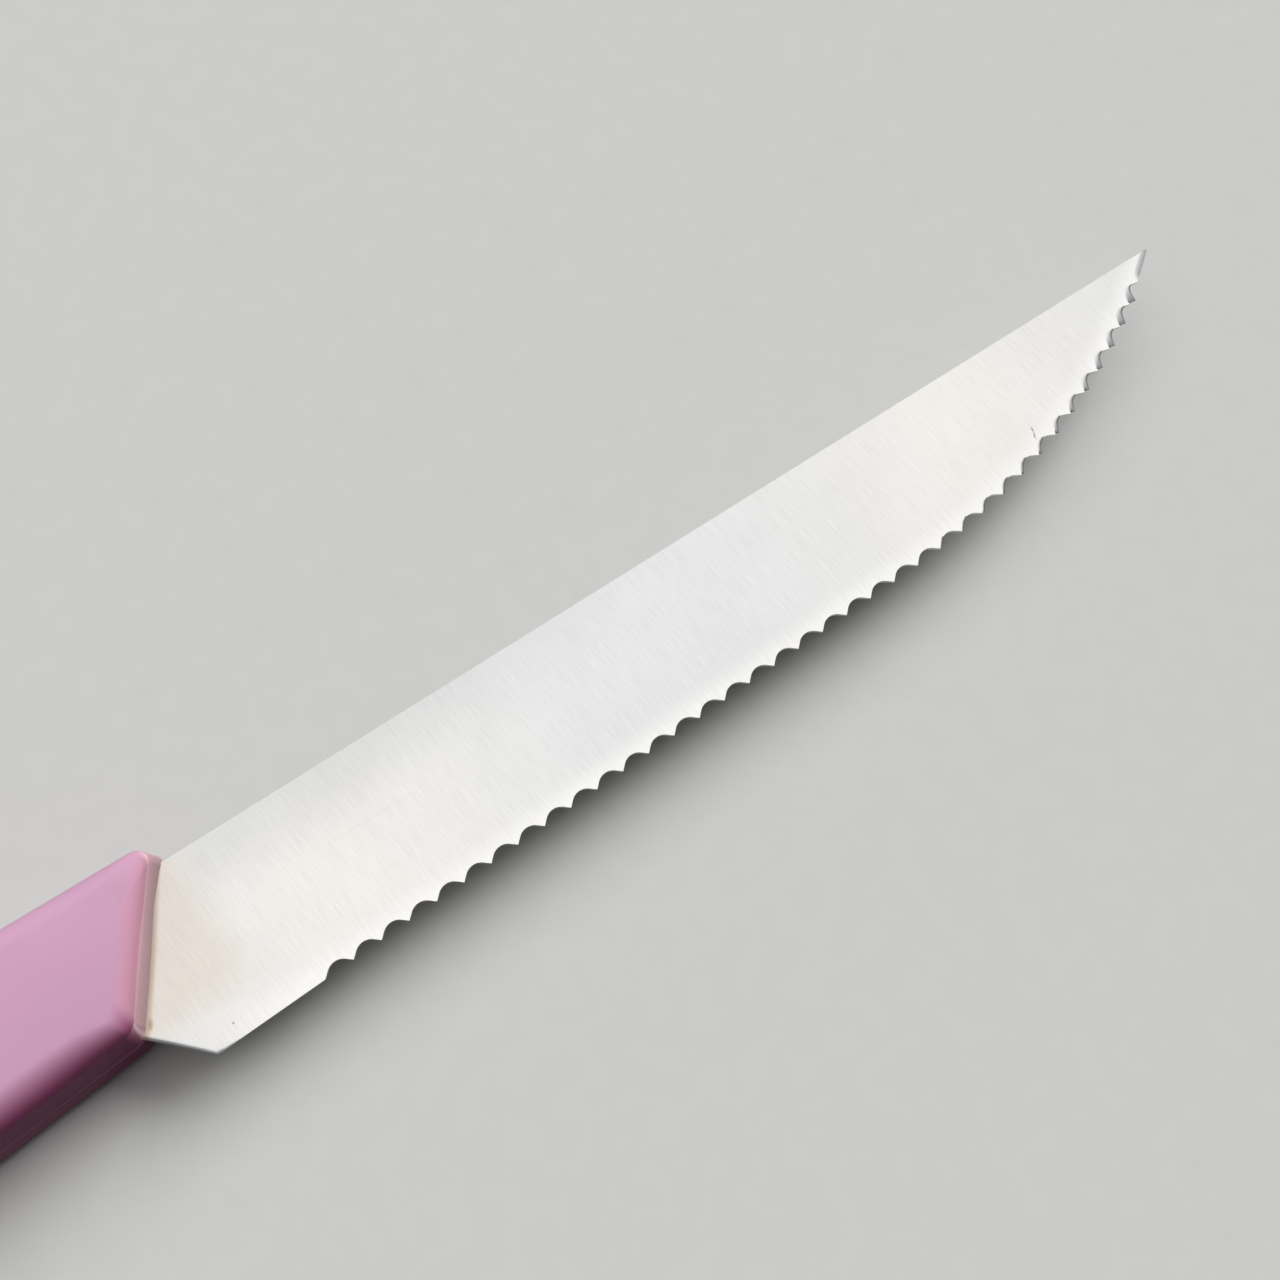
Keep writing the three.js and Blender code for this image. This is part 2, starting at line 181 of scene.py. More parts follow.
class KnifeBladeSettings(bpy.types.PropertyGroup):
    """Sizes and colours of the blade."""

    thickness: size("Thickness", (BLADE_HIGH.z - BLADE_LOW.z) / MM, "Thickness of the steel")
    length: size("Length", 119, "From the handle's front along the spine to where the edge's curve meets it")
    point_cut: size("Point cut", 0.03, "How far the point stops short of that length")
    point_radius: size("Point radius", 0.15, "Rounding of the point")
    heel_depth: size("Heel depth", 18, "From the spine down to the heel's corner")
    heel_setback: size("Heel setback", 4.25, "How far the heel's corner lies behind the front at the spine")
    heel_angle: angle("Heel angle", 44.5, "Slope of the short heel edge")
    edge_slope: angle("Edge slope", 1.8, "Rise of the straight edge towards the point")
    straight_edge: size("Straight edge", 79.95, "From the heel's corner to the start of the belly")
    plain_edge: size("Plain edge", 11.15, "From the heel's corner to the first tooth")
    plain_point: size("Plain point", 4, "At least this much of the belly stays plain at the point")
    tooth_pitch: size("Tooth pitch", 3, "From tooth tip to tooth tip")
    tooth_depth: size("Tooth depth", 0.87, "Depth of a gullet below the tips")
    flank_angle: angle("Flank angle", 42, "Slope of a tooth's straight flank to the row")
    bevel_width: size("Bevel width", 2.6, "Width of the bevel on the left side")
    edge_land: size("Edge land", 0.3, "Steel left at the tooth tips")
    scallop_tilt: angle("Scallop tilt", 55, "Lean of the hollow grind behind each gullet")
    scallop_land: size("Scallop land", 0.35, "Steel left at the bottom of a gullet")
    grind_width: size("Grind width", 3, "Width of the shallow grind along the edge on the right side")
    grind_depth: size("Grind depth", 0.07, "Depth of that grind at the tooth tips")
    slant_run: size("Slant run", 0.9, "How far the slanted grind runs on inside the steel, by the point")
    slant_drop: size("Slant drop", 0.08, "Of that grind below the right face")
    point_rim: size("Point rim", 0.8, "Width of the slanted rim between the last tooth and the point")
    spine_roll: size("Spine rounding", 0.06, "Rounding of the stamped spine")
    heel_roll: size("Heel rounding", 0.42, "Rounding of the heel's lower edge at the handle")
    tang_drop: size("Tang drop", 2.5, "Of the tang's top edge below the spine")
    tang_width: size("Tang width", 8, "Height of the tang inside the handle")
    tang_radius: size("Tang radius", 2, "Rounding of the tang's end")
    shoulder_setback: size("Shoulder setback", 3.5, "From the front at the spine to the upper shoulder")
    steel: colour("Steel", "#C1C1C1", "Ground stainless steel")
    # Painted reflection: slow bright bands along the blade
    steel_reflection_band: colour("Steel band", "#C9C7C3", "The same steel in its slow bright bands")
    # Painted highlight along the ground edge, where its bevel catches more light
    steel_edge_highlight: colour("Bright steel", "#D2D1CF", "Steel along the freshly ground edge")
    # Painted reflection of the pink handle, a warm tone on the steel beside it
    steel_handle_reflection: colour("Warm steel", "#C1BAB3", "Steel by the handle")
    steel_shaded: colour("Shaded steel", "#B6B6B6", "Steel below the spine, nearer to the handle")
    scratch: colour("Scratch", "#4C4C4A", "Small dark scratches and dots")
    # Painted shade on the heel's rounded lower edge, where it reflects dark surroundings
    heel_edge_shade: colour("Sheared steel", "#767D83", "Stamped edge of the heel")
    slanted: colour("Slanted steel", "#63676A", "Grind round the belly, turned from the light")
    # A real brown stain, also laid along the joint with the handle as painted contact shade
    stain_and_joint_shade: colour("Stain", "#8F7560", "Brown film left where the blade meets the handle")


class KnifeHandleSettings(bpy.types.PropertyGroup):
    """Sizes and colours of the handle."""

    length: size("Length", 107.96, "From the front at the spine to the butt")
    half_thickness: size("Half thickness", (HANDLE_HIGH.z - ORIGIN.z) / MM, "From the seam to a cheek")
    top_rise: size("Top rise", 1.295, "Of the handle's top above the spine, at the front")
    top_slope: angle("Top slope", 1.1, "Rise of the top towards the butt")
    front_drop: size("Front drop", 13.3, "Of the lower front corner below the spine")
    front_slant: angle("Front slant", 32.8, "Of the front face from upright")
    underside_slope: angle("Underside slope", 4.95, "Fall of the underside towards the belly")
    belly_setback: size("Belly setback", 52, "From the front at the spine to the bend in the underside")
    rear_slope: angle("Rear slope", 0.5, "Fall of the underside behind the bend")
    butt_slant: angle("Butt slant", 12, "Of the butt from upright")
    front_top_radius: size("Front top radius", 1.2, "Rounding of the upper front corner at the lip")
    front_low_radius: size("Front low radius", 2.3, "Rounding of the lower front corner")
    far_low_radius: size("Far low radius", 5, "Rounding of the lower front corner on the left half")
    corner_growth: size("Corner growth", 0.4, "Of the upper front rounding from the lip to the cheek")
    belly_radius: size("Belly radius", 400, "Rounding of the bend in the underside")
    butt_low_radius: size("Butt low radius", 7, "Rounding of the butt's lower corner")
    butt_top_radius: size("Butt top radius", 6, "Rounding of the butt's upper corner")
    cheek_radius: size("Cheek radius", 2.4, "Rounding between a cheek and the top and butt")
    low_radius: size("Low radius", 2.8, "Rounding between a cheek and the underside")
    low_taper: size("Low taper", 6, "From the lower front corner to where the underside's rounding is whole")
    front_radius: size("Front radius", 1.75, "Rounding between a cheek and the front")
    draft: angle("Draft", 2.5, "Lean of the sides from the seam to the cheeks")
    sharp_radius: size("Sharp radius", 0.15, "Corners that the rounding has used up")
    seam_bead: size("Seam bead", 0.03, "How far the moulding flash stands out at the seam")
    seam_width: size("Seam width", 0.08, "Width of that flash on each half")
    recess: size("Recess", 0.2, "How far the front face lies behind the lip along it")
    front_dish: size("Front dish", 0.14, "How much farther back the front face lies at the blade")
    top_dish: size("Top dish", 0.31, "How much deeper that dish is at the spine")
    dish_reach: size("Dish reach", 11.3, "How far down the front the deeper dish reaches")
    lip_slope: size("Lip slope", 0.3, "Width of that lip's inner slope")
    # The lip width and drop place the painted highlight line along the lip
    lip_width: size("Lip width", 0.75, "Half the width of the worn line on the lip")
    lip_drop: size("Lip drop", 0.15, "Of that line below the lip's top")
    blade_gap: size("Blade gap", 0.06, "Gap between the blade and the moulding")
    pin_gap: size("Pin gap", 0.3, "Gap between a pin and its socket")
    plastic: colour("Plastic", "#D1A2BF", "Moulded lilac plastic")
    # Painted shade, tinted pinker, on the rounded front
    plastic_front_shade: colour("Plastic front", "#C68EA1", "The same plastic on the rounded front, pinker")
    # Painted shade on the underside, deeper and redder than the plastic
    plastic_underside_shade: colour("Plastic underside", "#923F6A", "The same plastic on the underside, less faded")
    # Painted highlight along the lip, the seam and the strip below the lip
    painted_highlight: colour("Worn lip", "#EFC5CD", "Pale worn plastic on the lip")
    # Dust, with painted shade that deepens towards the joint, in the sunk front face
    dust_and_shade: colour("Dust", "#AF9E9B", "Grey film in the sunk front face")


class KnifeStageSettings(bpy.types.PropertyGroup):
    """Camera, floor and light."""

    camera_place: FloatVectorProperty(
        name="Camera place", description="From where the spine leaves the handle", subtype="XYZ",
        unit="LENGTH", default=(20.27 * MM, -44.92 * MM, 138.59 * MM))
    camera_aim: FloatVectorProperty(
        name="Camera aim", description="Point on the blade that the camera looks at", subtype="XYZ",
        unit="LENGTH", default=(48.65 * MM, -6.48 * MM, 0))
    camera_roll: angle("Camera roll", 35.48, "Turn of the picture from the spine's direction")
    lens: FloatProperty(
        name="Lens", description="Focal length on a 36 mm sensor", default=42.19, subtype="DISTANCE_CAMERA")
    floor: colour("Floor", "#CBCBC9", "Matte pale board")
    floor_dim: colour("Floor to matte surfaces", "#101010", "The board as matte surfaces see it")
    soft_box_power: FloatProperty(
        name="Soft box power", description="Power of the overhead soft box", default=144, unit="POWER")
    fill_strength: FloatProperty(
        name="Fill strength", description="Strength of the far fill lamp, in watts on a square metre",
        default=2.52)
    fill_spread: angle("Fill spread", 40, "How wide the far fill lamp looks from the knife")
    room: FloatProperty(
        name="Room", description="Brightness of the room to the eye and in the steel", default=0.6,
        subtype="FACTOR")
    room_dim: FloatProperty(
        name="Room to matte surfaces", description="Brightness of the room to matte surfaces", default=0.1,
        subtype="FACTOR")


def add_node(tree, kind, settings=None, inputs=None):
    """New node with its settings, and its open inputs set to values or linked to sockets or other nodes.

    An input is given by its name, or by its number where names repeat.
    A node stands for its first open output.
    """
    node = tree.nodes.new(kind)
    for name, value in (settings or {}).items():
        setattr(node, name, value)
    sockets = [socket for socket in node.inputs if socket.enabled]
    by_name = {socket.name: socket for socket in sockets}
    for key, value in (inputs or {}).items():
        socket = sockets[key] if isinstance(key, int) else by_name[key]
        if isinstance(value, bpy.types.Node):
            value = next(output for output in value.outputs if output.enabled)
        if isinstance(value, bpy.types.NodeSocket):
            tree.links.new(value, socket)
        else:
            socket.default_value = value
    return node


def new_material(name):
    """New material with its node tree, its output, and the place on the surface, in metres."""
    material = bpy.data.materials.new(name)
    material.use_nodes = True
    tree = material.node_tree
    tree.nodes.clear()
    output = tree.nodes.new("ShaderNodeOutputMaterial")
    place = add_node(tree, "ShaderNodeTexCoord").outputs["Object"]
    return material, tree, output, place


def opaque(shade):
    """A colour property with full alpha, for a colour socket."""
    return (*shade, 1.0)


def lay_tones(tree, shade, settings, names):
    """A shade under tones of the settings, each laid on by the share that the mesh keeps under its name."""
    for name in names:
        share = add_node(tree, "ShaderNodeAttribute", {"attribute_name": name})
        shade = add_node(tree, "ShaderNodeMix", {"data_type": "RGBA"}, {
            "Factor": share.outputs["Fac"],
            "A": shade,
            "B": opaque(getattr(settings, name)),
        })
    return shade


def uneven(tree, shade, noise, darkest, lightest):
    """A shade that a noise makes a little darker and lighter from place to place."""
    level = add_node(tree, "ShaderNodeMapRange", inputs={
        "Value": noise,
        "From Min": 0.3,
        "From Max": 0.7,
        "To Min": darkest,
        "To Max": lightest,
    })
    return add_node(tree, "ShaderNodeVectorMath", {"operation": "SCALE"}, {"Vector": shade, "Scale": level})


def stain_and_shade_by_handle(tree, place, shade, blade, handle):
    """A shade under a brown stain and painted contact shade, laid on the steel along its joint with the
    handle.
    """
    stain_and_shade_width = 0.65 * MM
    stain_and_shade_strength = 0.68
    front = add_node(tree, "ShaderNodeSeparateXYZ", inputs={
        "Vector": add_node(tree, "ShaderNodeMapping", {"vector_type": "TEXTURE"}, {
            "Vector": place,
            "Location": ORIGIN,
            "Rotation": (0, 0, -handle.front_slant),
        }),
    })
    joint_depth = add_node(tree, "ShaderNodeMapRange", {"interpolation_type": "SMOOTHSTEP"}, {
        "Value": front.outputs["Y"],
        "From Min": -handle.dish_reach,
        "From Max": 0.0,
        "To Min": handle.recess + handle.front_dish,
        "To Max": handle.recess + handle.front_dish + handle.top_dish,
    })
    distance = add_node(tree, "ShaderNodeMath", {"operation": "ADD"}, {
        0: front.outputs["X"],
        1: joint_depth,
    })
    share = add_node(tree, "ShaderNodeMapRange", {"interpolation_type": "SMOOTHSTEP"}, {
        "Value": distance,
        "From Min": 0.0,
        "From Max": stain_and_shade_width,
        "To Min": stain_and_shade_strength,
        "To Max": 0.0,
    })
    return add_node(tree, "ShaderNodeMix", {"data_type": "RGBA"}, {
        "Factor": share,
        "A": shade,
        "B": opaque(blade.stain_and_joint_shade),
    })


def marked(tree, place, shade, blade, mark):
    """A shade under one short stroke on the right face, strongest in the stroke's middle."""
    half_thickness = blade.thickness / 2
    start, end = Vector(mark.start) * MM, Vector(mark.end) * MM
    run = end - start
    half_width = mark.half_width * MM
    stroke = add_node(tree, "ShaderNodeMapping", {"vector_type": "TEXTURE"}, {
        "Vector": place,
        "Location": ORIGIN + Vector((*(start + end) / 2, half_thickness)),
        "Rotation": (0, 0, math.atan2(run.y, run.x)),
        "Scale": (run.length / 2 + half_width, half_width, half_thickness),
    })
    nearness = add_node(tree, "ShaderNodeTexGradient", {"gradient_type": "SPHERICAL"}, {"Vector": stroke})
    share = add_node(tree, "ShaderNodeMath", {"operation": "MULTIPLY"}, {
        0: nearness.outputs["Fac"],
        1: mark.strength,
    })
    return add_node(tree, "ShaderNodeMix", {"data_type": "RGBA"}, {
        "Factor": share,
        "A": shade,
        "B": opaque(getattr(blade, mark.tone)),
    })


def ground_stainless_steel(blade, handle):
    """Stainless steel ground across the blade: satin, nearly white under a soft box, faintly lined.

    The real lines lie closer than the picture can show, so they are drawn 0.2 mm apart.
    """
    material, tree, output, place = new_material("stainless_steel_ground_across")
    line_spacing = 0.2 * MM
    line_length = 3.5 * MM
    line_lean = math.radians(5)
    lines = add_node(tree, "ShaderNodeTexNoise", inputs={
        "Vector": add_node(tree, "ShaderNodeMapping", {"vector_type": "TEXTURE"}, {
            "Vector": place,
            "Rotation": (0, 0, line_lean),
            "Scale": (line_spacing, line_length, line_length),
        }),
        "Scale": 1.0,
        "Detail": 3.0,
        "Roughness": 0.6,
    })
    wash_size = 9 * MM
    wash = add_node(tree, "ShaderNodeTexNoise", inputs={
        "Vector": place,
        "Scale": 1 / wash_size,
        "Detail": 2.0,
    })
    shade = lay_tones(tree, opaque(blade.steel), blade, STEEL_TONES)
    shade = uneven(tree, shade, lines, darkest=0.92, lightest=1.05)
    shade = uneven(tree, shade, wash, darkest=0.98, lightest=1.02)
    shade = stain_and_shade_by_handle(tree, place, shade, blade, handle)
    for mark in MARKS:
        shade = marked(tree, place, shade, blade, mark)
    roughness = add_node(tree, "ShaderNodeMapRange", inputs={
        "Value": lines,
        "From Min": 0.3,
        "From Max": 0.7,
        "To Min": 0.30,
        "To Max": 0.38,
    })
    relief = add_node(tree, "ShaderNodeBump", inputs={
        "Height": lines,
        "Strength": 0.35,
        "Distance": 0.003 * MM,
    })
    shader = add_node(tree, "ShaderNodeBsdfPrincipled", inputs={
        "Base Color": shade,
        "Metallic": 1.0,
        "Roughness": roughness,
        "Anisotropic": 0.6,
        "Tangent": add_node(tree, "ShaderNodeCombineXYZ", inputs={"X": 1.0}),
        "Normal": relief,
    })
    tree.links.new(shader.outputs["BSDF"], output.inputs["Surface"])
    return material


def moulded_plastic(handle):
    """Injection-moulded polypropylene: satin, with faint orange peel; painted shade darkens the cheeks
    towards their lower edge, and the underside.
    """
    material, tree, output, place = new_material("polypropylene_moulded_satin")
    peel_size = 0.55 * MM
    peel = add_node(tree, "ShaderNodeTexNoise", inputs={
        "Vector": place,
        "Scale": 1 / peel_size,
        "Detail": 2.0,
    })
    mottle_size = 7 * MM
    mottle = add_node(tree, "ShaderNodeTexNoise", inputs={
        "Vector": place,
        "Scale": 1 / mottle_size,
        "Detail": 3.0,
    })
    # Painted shade: the cheeks darker towards their lower edge
    lower_cheek_shade = add_node(tree, "ShaderNodeMapRange", {"interpolation_type": "SMOOTHSTEP"}, {
        "Value": add_node(tree, "ShaderNodeSeparateXYZ", inputs={"Vector": place}).outputs["Y"],
        "From Min": ORIGIN.y - handle.front_drop,
        "From Max": ORIGIN.y,
        "To Min": 0.885,
        "To Max": 1.0,
    })
    shade = add_node(tree, "ShaderNodeVectorMath", {"operation": "SCALE"}, {
        "Vector": handle.plastic,
        "Scale": lower_cheek_shade,
    })
    shade = lay_tones(tree, shade, handle, PLASTIC_TONES)
    shade = uneven(tree, shade, mottle, darkest=0.98, lightest=1.02)
    roughness = add_node(tree, "ShaderNodeMapRange", inputs={
        "Value": peel,
        "From Min": 0.3,
        "From Max": 0.7,
        "To Min": 0.36,
        "To Max": 0.44,
    })
    relief = add_node(tree, "ShaderNodeBump", inputs={
        "Height": peel,
        "Strength": 0.3,
        "Distance": 0.01 * MM,
    })
    shader = add_node(tree, "ShaderNodeBsdfPrincipled", inputs={
        "Base Color": shade,
        "Roughness": roughness,
        "IOR": 1.49,
        "Specular IOR Level": 0.07,
        "Normal": relief,
    })
    tree.links.new(shader.outputs["BSDF"], output.inputs["Surface"])
    return material


def drawn_pin_steel():
    """Cold-drawn steel wire, cut to length: grey and plain, with drawing lines along the pin."""
    material, tree, output, place = new_material("steel_wire_cold_drawn")
    line_spacing = 0.15 * MM
    line_length = 6 * MM
    lines = add_node(tree, "ShaderNodeTexNoise", inputs={
        "Vector": add_node(tree, "ShaderNodeMapping", {"vector_type": "TEXTURE"}, {
            "Vector": place,
            "Scale": (line_spacing, line_spacing, line_length),
        }),
        "Scale": 1.0,
        "Detail": 2.0,
    })
    shade = add_node(tree, "ShaderNodeMix", {"data_type": "RGBA"}, {
        "Factor": lines,
        "A": opaque(linear("#A9AAAB")),
        "B": opaque(linear("#C0C0BF")),
    })
    roughness = add_node(tree, "ShaderNodeMapRange", inputs={"Value": lines, "To Min": 0.22, "To Max": 0.52})
    shader = add_node(tree, "ShaderNodeBsdfPrincipled", inputs={
        "Base Color": shade,
        "Metallic": 1.0,
        "Roughness": roughness,
    })
    tree.links.new(shader.outputs["BSDF"], output.inputs["Surface"])
    return material


def floor_board(stage):
    """Matte board: even and pale, but dark to matte surfaces, so that little light comes back up."""
    material, tree, output, place = new_material("board_matte_pale")
    fibre_size = 3 * MM
    fibre = add_node(tree, "ShaderNodeTexNoise", inputs={
        "Vector": place,
        "Scale": 1 / fibre_size,
        "Detail": 4.0,
    })
    pale = add_node(tree, "ShaderNodeBsdfDiffuse", inputs={
        "Color": uneven(tree, stage.floor, fibre, darkest=0.985, lightest=1.01),
    })
    dim = add_node(tree, "ShaderNodeBsdfDiffuse", inputs={"Color": opaque(stage.floor_dim)})
    board = add_node(tree, "ShaderNodeMixShader", inputs={0: seen_directly(tree), 1: dim, 2: pale})
    tree.links.new(board.outputs["Shader"], output.inputs["Surface"])
    return material


def seen_directly(tree):
    """Node that is 1 for what the camera sees, straight or by way of metal, gloss or glass."""
    ray = add_node(tree, "ShaderNodeLightPath")
    seen = ray.outputs["Is Camera Ray"]
    for way in ("Is Glossy Ray", "Is Transmission Ray"):
        seen = add_node(tree, "ShaderNodeMath", {"operation": "MAXIMUM"}, {0: seen, 1: ray.outputs[way]})
    return seen


class EdgeLine:
    """The cutting edge from the side: a straight run from the heel's corner, then one arc to the point."""

    def __init__(self, blade):
        self.heel = Vector((-blade.heel_setback, -blade.heel_depth))
        self.along = Vector((math.cos(blade.edge_slope), math.sin(blade.edge_slope)))
        self.inward = Vector((-self.along.y, self.along.x))
        self.straight = blade.straight_edge
        self.belly = self.heel + self.along * self.straight
        span = Vector((blade.length, 0)) - self.belly
        rise = span.dot(self.inward)
        self.radius = span.length_squared / (2 * rise)
        self.length = self.straight + 2 * self.radius * math.atan2(rise, span.dot(self.along))

    def at(self, distance):
        """Place on the edge at a distance from the heel's corner."""
        if distance <= self.straight:
            return self.heel + self.along * distance
        turn = (distance - self.straight) / self.radius
        return self.belly + self.radius * (math.sin(turn) * self.along + (1 - math.cos(turn)) * self.inward)

    def depth(self, place):
        """How far a place lies inside the edge."""
        offset = place - self.belly
        if offset.dot(self.along) <= 0:
            return offset.dot(self.inward)
        return self.radius - (offset - self.radius * self.inward).length


def gullets(blade, edge):
    """The gullets between the teeth, each with its tips, its round bottom and its directions."""
    count = math.floor((edge.length - blade.plain_edge - blade.plain_point) / blade.tooth_pitch)
    flank = blade.flank_angle
    found = []
    for i in range(count):
        start = edge.at(blade.plain_edge + i * blade.tooth_pitch)
        end = edge.at(blade.plain_edge + (i + 1) * blade.tooth_pitch)
        along = (end - start).normalized()
        inward = Vector((-along.y, along.x))
        excess = (end - start).length / 2 * math.tan(flank) - blade.tooth_depth
        radius = excess / (math.sin(flank) * math.tan(flank) - (1 - math.cos(flank)))
        apex = (start + end) / 2 + inward * blade.tooth_depth
        found.append(SimpleNamespace(
            start=start, end=end, along=along, inward=inward, radius=radius, apex=apex))
    return found


def arc(centre, radius, start, end, steps):
    """Points along an arc from one angle to another."""
    turns = [start + (end - start) * i / steps for i in range(steps + 1)]
    return [centre + radius * Vector((math.cos(t), math.sin(t))) for t in turns]


def blade_sides(blade, edge, cuts):
    """Lower and upper outline of the blade and its tang, both from the tang's end to the point."""
    top = -blade.tang_drop
    low = top - blade.tang_width
    tail = -TANG_LENGTH
    rounding = blade.tang_radius
    root = edge.heel.x - (blade.heel_depth + low) / math.tan(blade.heel_angle)
    lower = arc(Vector((tail + rounding, low + rounding)), rounding, math.pi, 1.5 * math.pi, 8)
    lower += [Vector((root, low)), edge.heel]
    for cut in cuts:
        lean = math.atan2(cut.inward.y, cut.inward.x)
        centre = cut.apex - cut.inward * cut.radius
        bottom = arc(centre, cut.radius, lean + blade.flank_angle, lean - blade.flank_angle, 12)
        lower += [cut.start.lerp(bottom[0], i / 4) for i in range(4)] + bottom
    last_tip = cuts[-1].end
    point = Vector((blade.length - blade.point_cut, 0))
    rise = point - last_tip
    slope = math.atan2(rise.y, rise.x)
    blunt = point - blade.point_radius * Vector((1 / math.tan(slope / 2), 1))
    nose = math.radians(10)
    end = arc(blunt, blade.point_radius, slope - math.pi / 2, -nose, 6)
    lower += [last_tip.lerp(end[0], i / 8) for i in range(8)] + end
    upper = arc(Vector((tail + rounding, top - rounding)), rounding, math.pi, 0.5 * math.pi, 8)
    upper += [Vector((-blade.shoulder_setback - blade.tang_drop, top)), Vector((-blade.shoulder_setback, 0))]
    upper += arc(blunt, blade.point_radius, math.pi / 2, nose, 6)
    return lower, upper


def blade_columns(blade, edge, cuts, lower, upper):
    """Upright columns of the blade: x, the lowest y, the lowest y of the right face, and the highest y.

    The grind runs slantwise through the steel round the belly, so the lower outline that the right face shows
    is carried on towards the point inside the steel.
    """
    step = 1.5 * MM
    closest = 0.004 * MM
    near_xs = [p.x for p in lower]
    near_ys = [p.y for p in lower]
    last = cuts[-1]
    slants = np.interp(near_xs, [edge.belly.x, last.start.x, last.end.x], [0, blade.slant_run, 0])
    inner_xs = [x + slant for x, slant in zip(near_xs, slants)]
    all_xs = near_xs + inner_xs + [p.x for p in upper]
    bends = sorted({round(x, 9) for x in all_xs if x <= near_xs[-1]})
    xs = [bends[0]]
    for x in bends[1:]:
        gap = x - xs[-1]
        if gap < closest:
            continue
        parts = max(1, round(gap / step))
        start = xs[-1]
        xs += [start + gap * (i + 1) / parts for i in range(parts)]
    nears = np.interp(xs, near_xs, near_ys)
    lows = np.minimum(nears, np.interp(xs, inner_xs, near_ys))
    highs = np.interp(xs, [p.x for p in upper], [p.y for p in upper])
    rows = zip(xs, lows, nears, highs)
    return [SimpleNamespace(x=x, low=low, near=near, high=high) for x, low, near, high in rows]


def rolled(distance, radius):
    """Drop of a face at a distance from an edge that is rounded to a radius."""
    if distance >= radius:
        return 0.0
    short = min(radius, radius - distance)
    return radius - math.sqrt(radius ** 2 - short ** 2)


class BladeFaces:
    """Heights and tones of the blade's two faces over its side view."""

    def __init__(self, blade, edge, cuts):
        self.blade = blade
        self.edge = edge
        self.cuts = cuts
        self.half = blade.thickness / 2

    def grind(self, place):
        """Share of the shallow grind on the right face: 1 at the tooth tips, 0 above it."""
        share = 1 - self.edge.depth(place) / self.blade.grind_width
        return min(1.0, max(0.0, share))

    def heel_rounding(self, place, column):
        """Drop of a face by the rounding of the heel's lower edge."""
        growth = HEEL_ROLL_START + (self.edge.heel.x - place.x) / HEEL_ROLL_RUN
        if growth <= 0:
            return 0.0
        distance = (place.y - column.low) * math.cos(self.blade.heel_angle)
        return rolled(distance, self.blade.heel_roll * min(1.0, growth))

    def rounding(self, place, column):
        """Drop of a face by the rounding of the spine and of the heel's lower edge."""
        return max(rolled(column.high - place.y, self.blade.spine_roll), self.heel_rounding(place, column))

    def slanted(self, place, column):
        """Share of the way down the slanted grind inside the steel: 0 on the right face, 1 at the outline."""
        rim = self.blade.point_rim
        past_teeth = smooth_step((place.x - self.cuts[-1].end.x) / rim)
        share = RIM_STRENGTH * past_teeth * (1 - (place.y - column.low) / rim)
        if column.near - column.low > THINNEST_EDGE:
            share = max(share, (column.near - place.y) / (column.near - column.low))
        return min(1.0, max(0.0, share))

    def tones(self, place, column):
        """Share of each of the steel's tones, in the order of their names."""
        # Painted reflection: slow bright bands along the blade
        reflection_band = 0.5 + 0.5 * math.cos(2 * math.pi * (place.x - FIRST_REFLECTION_BAND) / REFLECTION_BAND_SPACING)
        # Painted reflection of the pink handle on the steel beside it
        handle_reflection = ramp(place.x, REFLECTION_BY_HANDLE) * ramp(place.y, REFLECTION_ABOVE_HEEL)
        # Painted highlight along the ground edge
        edge_highlight = smooth_step(self.grind(place)) * smooth_step((place.x - self.edge.heel.x) / HEEL_FADE)
        shaded = SHADE_STRENGTH * ramp(place.x, SHADE_BY_HANDLE) * ramp(place.x, SHADE_BY_POINT)
        shaded *= ramp(place.y, SHADE_BY_SPINE)
        # Painted shade on the heel's rounded lower edge
        heel_edge_shade = min(1.0, HEEL_SHADE_RISE * self.heel_rounding(place, column) / self.blade.heel_roll)
        slanted = math.sqrt(self.slanted(place, column))
        return reflection_band ** 2, handle_reflection, edge_highlight, shaded, heel_edge_shade, slanted

    def right(self, place, column):
        """Height of the right face, with the slanted grind round the belly."""
        height = self.half - self.blade.grind_depth * self.grind(place) ** 2 - self.rounding(place, column)
        return height - self.blade.slant_drop * self.slanted(place, column)

    def left(self, place, column):
        """Height of the left face, with its bevel and the hollow behind each gullet."""
        blade = self.blade
        fall = (blade.thickness - blade.edge_land) / blade.bevel_width
        height = self.rounding(place, column) - self.half
        height = max(height, (blade.bevel_width - self.edge.depth(place)) * fall - self.half)
        for cut in self.cuts:
            offset = place - cut.apex
            aside = offset.dot(cut.along)
            if abs(aside) < cut.radius:
                reach = math.sqrt(cut.radius ** 2 - aside ** 2) - cut.radius
                climb = reach - offset.dot(cut.inward) * math.cos(blade.scallop_tilt)
                height = max(height, self.half - blade.scallop_land + climb / math.sin(blade.scallop_tilt))
        return min(height, self.right(place, column) - THINNEST_EDGE)


def column_heights(low, high):
    """Heights of the points in one column: close together at the edge and at the spine."""
    edge_reach = min(4 * MM, 0.6 * (high - low))
    spine_reach = min(0.6 * MM, 0.25 * (high - low))
    edge_steps, middle_steps, spine_steps = 12, 6, 5
    heights = [low + edge_reach * (i / edge_steps) ** 2 for i in range(edge_steps)]
    start = low + edge_reach
    span = high - spine_reach - start
    heights += [start + span * i / middle_steps for i in range(middle_steps)]
    heights += [high - spine_reach * (1 - i / spine_steps) ** 2 for i in range(spine_steps + 1)]
    return heights


